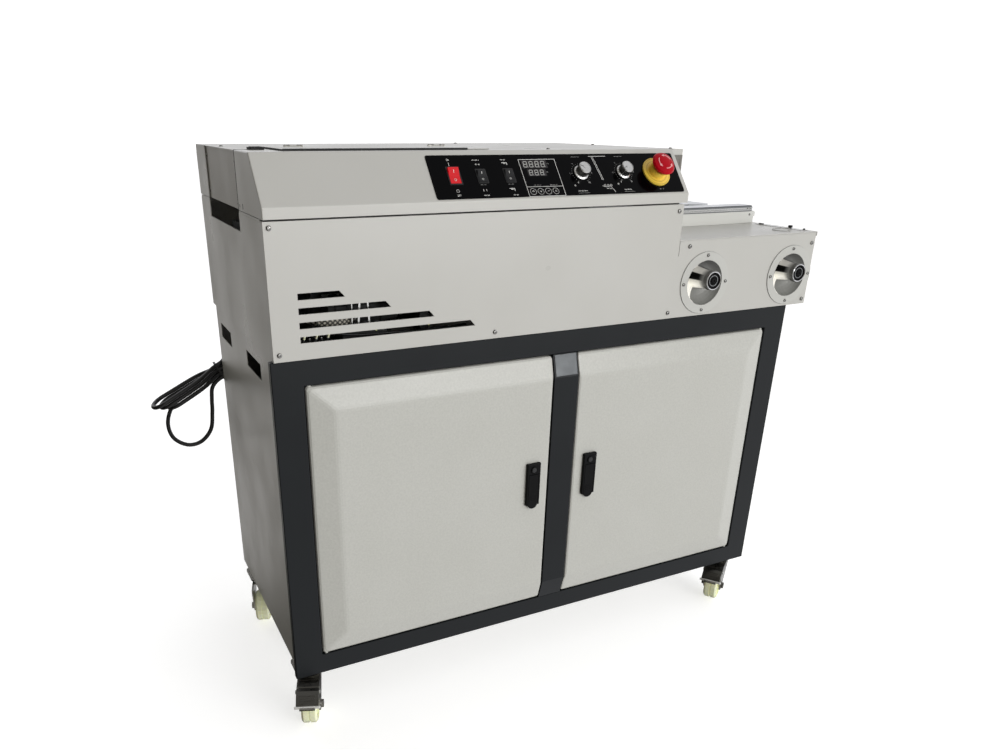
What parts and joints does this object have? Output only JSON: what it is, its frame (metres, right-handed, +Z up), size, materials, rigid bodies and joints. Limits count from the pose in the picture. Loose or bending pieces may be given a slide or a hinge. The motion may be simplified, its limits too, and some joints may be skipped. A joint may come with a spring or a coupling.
{
  "type": "perfect binding machine",
  "caption": "Hot-glue perfect binder: wheeled two-door cabinet, housing with stepped low table, sloping hood with controls, hinged lid, clamp carriage on a rail",
  "frame": {"origin": "on the floor under the middle of the machine's footprint, the mains cord left out", "axes": "X runs right along the machine's length, Y runs back from its front, Z runs up"},
  "size_m": [1.1745, 0.5659, 0.9279],
  "materials": {
    "aluminium": "brushed",
    "black": "moulded",
    "body": "satin powder coat",
    "cord": "smooth sheath",
    "frame": "satin powder coat",
    "gloss_black": "polished overlay",
    "grey": "satin",
    "nylon": "translucent nylon",
    "red": "moulded",
    "steel": "polished",
    "yellow": "moulded",
    "zinc": "zinc plated"
  },
  "bodies": {
    "machine": {"bezel_1": "steel", "bezel_2": "steel", "castor_front_left_plate": "zinc", "castor_front_right_plate": "zinc", "castor_rear_left_plate": "zinc", "castor_rear_right_plate": "zinc", "control_panel": "gloss_black", "cord_gland": "cord", "cord_hank": "cord", "cord_lead": "cord", "cord_plug": "cord", "cord_tail": "cord", "cord_tie": "cord", "cutter_motor": "grey", "door_post": "frame", "drive_motor": "grey", "end_cover": "body", "front_panel": "body", "glue_tank": "aluminium", "guide_rail": "aluminium", "hood_body": "body", "hood_front": "body", "housing_shell": "body", "lid_hinge_1": "steel", "lid_hinge_2": "steel", "nip_box": "body", "stand_cabinet": "body", "stand_frame": "frame", "step_table": "body", "stop_base": "yellow"},
    "door_left_leaf": {"door_left": "body", "latch_left": "black"},
    "latch_left_lever": {"latch_left_tongue": "black"},
    "door_right_leaf": {"door_right": "body", "latch_right": "black"},
    "latch_right_lever": {"latch_right_tongue": "black"},
    "front_left_swivel": {"castor_front_left_fork": "zinc"},
    "front_left_roller": {"castor_front_left_wheel": "nylon"},
    "front_left_pedal": {"castor_front_left_brake": "zinc"},
    "front_right_swivel": {"castor_front_right_fork": "zinc"},
    "front_right_roller": {"castor_front_right_wheel": "nylon"},
    "front_right_pedal": {"castor_front_right_brake": "zinc"},
    "rear_left_swivel": {"castor_rear_left_fork": "zinc"},
    "rear_left_roller": {"castor_rear_left_wheel": "nylon"},
    "rear_right_swivel": {"castor_rear_right_fork": "zinc"},
    "rear_right_roller": {"castor_rear_right_wheel": "nylon"},
    "adjust_knob_1_turn": {"adjust_knob_1": "black"},
    "adjust_knob_2_turn": {"adjust_knob_2": "black"},
    "nip_jaw_bar": {"nip_jaw": "steel"},
    "lid": {"hood_lid": "body"},
    "main_rocker_button": {"main_rocker": "red"},
    "small_rocker_1_button": {"small_rocker_1": "black"},
    "small_rocker_2_button": {"small_rocker_2": "black"},
    "dial_1_knob": {"dial_1": "aluminium"},
    "dial_2_knob": {"dial_2": "aluminium"},
    "stop_mushroom": {"stop_button": "red"},
    "carriage": {"clamp_carriage": "grey"},
    "moving_jaw": {"clamp_jaw": "aluminium"},
    "cutter_disc": {"milling_cutter": "steel"},
    "glue_drum": {"glue_roller": "steel"}
  },
  "joints": [
    {"name": "door_left_hinge", "type": "hinge", "parent": "machine", "child": "door_left_leaf", "pos_m": [-0.46207, -0.19721, 0.13211], "axis": [0, 0, -1], "range_deg": [0, 95]},
    {"name": "latch_left_pull", "type": "hinge", "parent": "door_left_leaf", "child": "latch_left_lever", "pos_m": [-0.07647, -0.21641, 0.39751], "axis": [-1, 0, 0], "range_deg": [0, 55], "stiffness_Nm_per_rad": 0.02},
    {"name": "door_right_hinge", "type": "hinge", "parent": "machine", "child": "door_right_leaf", "pos_m": [0.42673, -0.19721, 0.13211], "axis": [0, 0, 1], "range_deg": [0, 95]},
    {"name": "latch_right_pull", "type": "hinge", "parent": "door_right_leaf", "child": "latch_right_lever", "pos_m": [0.04113, -0.21641, 0.39751], "axis": [-1, 0, 0], "range_deg": [0, 55], "stiffness_Nm_per_rad": 0.02},
    {"name": "front_left_castor_turn", "type": "hinge", "parent": "machine", "child": "front_left_swivel", "pos_m": [-0.48567, -0.16771, -0.00039], "axis": [0, 0, 1], "continuous": true},
    {"name": "front_left_wheel_roll", "type": "hinge", "parent": "front_left_swivel", "child": "front_left_roller", "pos_m": [-0.49642, -0.19572, 0.03136], "axis": [0.9336, -0.3584, 0], "continuous": true},
    {"name": "front_left_brake_press", "type": "hinge", "parent": "front_left_swivel", "child": "front_left_pedal", "pos_m": [-0.50359, -0.21439, 0.07331], "axis": [0.9336, -0.3584, 0], "range_deg": [0, 15]},
    {"name": "front_right_castor_turn", "type": "hinge", "parent": "machine", "child": "front_right_swivel", "pos_m": [0.45033, -0.16771, -0.00039], "axis": [0, 0, 1], "continuous": true},
    {"name": "front_right_wheel_roll", "type": "hinge", "parent": "front_right_swivel", "child": "front_right_roller", "pos_m": [0.4259, -0.18513, 0.03136], "axis": [0.5807, -0.8141, 0], "continuous": true},
    {"name": "front_right_brake_press", "type": "hinge", "parent": "front_right_swivel", "child": "front_right_pedal", "pos_m": [0.40962, -0.19675, 0.07331], "axis": [0.5807, -0.8141, 0], "range_deg": [0, 15]},
    {"name": "rear_left_castor_turn", "type": "hinge", "parent": "machine", "child": "rear_left_swivel", "pos_m": [-0.48567, 0.17829, -0.00039], "axis": [0, 0, 1], "continuous": true},
    {"name": "rear_left_wheel_roll", "type": "hinge", "parent": "rear_left_swivel", "child": "rear_left_roller", "pos_m": [-0.49494, 0.14976, 0.03136], "axis": [0.9511, -0.309, 0], "continuous": true},
    {"name": "rear_right_castor_turn", "type": "hinge", "parent": "machine", "child": "rear_right_swivel", "pos_m": [0.45033, 0.17829, -0.00039], "axis": [0, 0, 1], "continuous": true},
    {"name": "rear_right_wheel_roll", "type": "hinge", "parent": "rear_right_swivel", "child": "rear_right_roller", "pos_m": [0.43186, 0.15465, 0.03136], "axis": [0.788, -0.6157, 0], "continuous": true},
    {"name": "adjust_knob_1_spin", "type": "hinge", "parent": "machine", "child": "adjust_knob_1_turn", "pos_m": [0.26633, -0.20371, 0.71111], "axis": [0, 1, 0], "range_deg": [0, 720]},
    {"name": "adjust_knob_2_spin", "type": "hinge", "parent": "machine", "child": "adjust_knob_2_turn", "pos_m": [0.47133, -0.20371, 0.71111], "axis": [0, 1, 0], "range_deg": [0, 720]},
    {"name": "nip_jaw_travel", "type": "slide", "parent": "machine", "child": "nip_jaw_bar", "axis": [0, 1, 0], "range_m": [0, 0.01]},
    {"name": "hood_lid_hinge", "type": "hinge", "parent": "machine", "child": "lid", "pos_m": [-0.45767, -0.00171, 0.92581], "axis": [-1, 0, 0], "range_deg": [0, 100]},
    {"name": "main_rocker_tilt", "type": "hinge", "parent": "machine", "child": "main_rocker_button", "pos_m": [-0.21917, -0.1796, 0.88886], "axis": [-1, 0, 0], "range_deg": [0, 18]},
    {"name": "small_rocker_1_tilt", "type": "hinge", "parent": "machine", "child": "small_rocker_1_button", "pos_m": [-0.17367, -0.18054, 0.8877], "axis": [-1, 0, 0], "range_deg": [0, 18]},
    {"name": "small_rocker_2_tilt", "type": "hinge", "parent": "machine", "child": "small_rocker_2_button", "pos_m": [-0.12667, -0.18054, 0.8877], "axis": [-1, 0, 0], "range_deg": [0, 18]},
    {"name": "dial_1_turn", "type": "hinge", "parent": "machine", "child": "dial_1_knob", "pos_m": [0.00333, -0.18037, 0.89013], "axis": [0, 0.7772, -0.6292], "range_deg": [0, 300]},
    {"name": "dial_2_turn", "type": "hinge", "parent": "machine", "child": "dial_2_knob", "pos_m": [0.08533, -0.18037, 0.89013], "axis": [0, 0.7772, -0.6292], "range_deg": [0, 300]},
    {"name": "stop_button_push", "type": "slide", "parent": "machine", "child": "stop_mushroom", "axis": [0, 0.7772, -0.6292], "range_m": [0, 0.005], "stiffness_N_per_m": 200},
    {"name": "carriage_travel", "type": "slide", "parent": "machine", "child": "carriage", "axis": [1, 0, 0], "range_m": [-0.355, 0.265]},
    {"name": "clamp_jaw_travel", "type": "slide", "parent": "carriage", "child": "moving_jaw", "axis": [0, 1, 0], "range_m": [0, 0.05]},
    {"name": "milling_cutter_spin", "type": "hinge", "parent": "machine", "child": "cutter_disc", "pos_m": [-0.16567, 0.02759, 0.80481], "axis": [0, 0, 1], "continuous": true},
    {"name": "glue_roller_spin", "type": "hinge", "parent": "machine", "child": "glue_drum", "pos_m": [-0.32767, -0.03321, 0.77431], "axis": [0, 1, 0], "continuous": true}
  ],
  "couplings": [
    {"joint": "adjust_knob_1_spin", "follows": "nip_jaw_travel", "rad_per_m": 1256.6},
    {"joint": "adjust_knob_2_spin", "follows": "nip_jaw_travel", "rad_per_m": 1256.6}
  ]
}
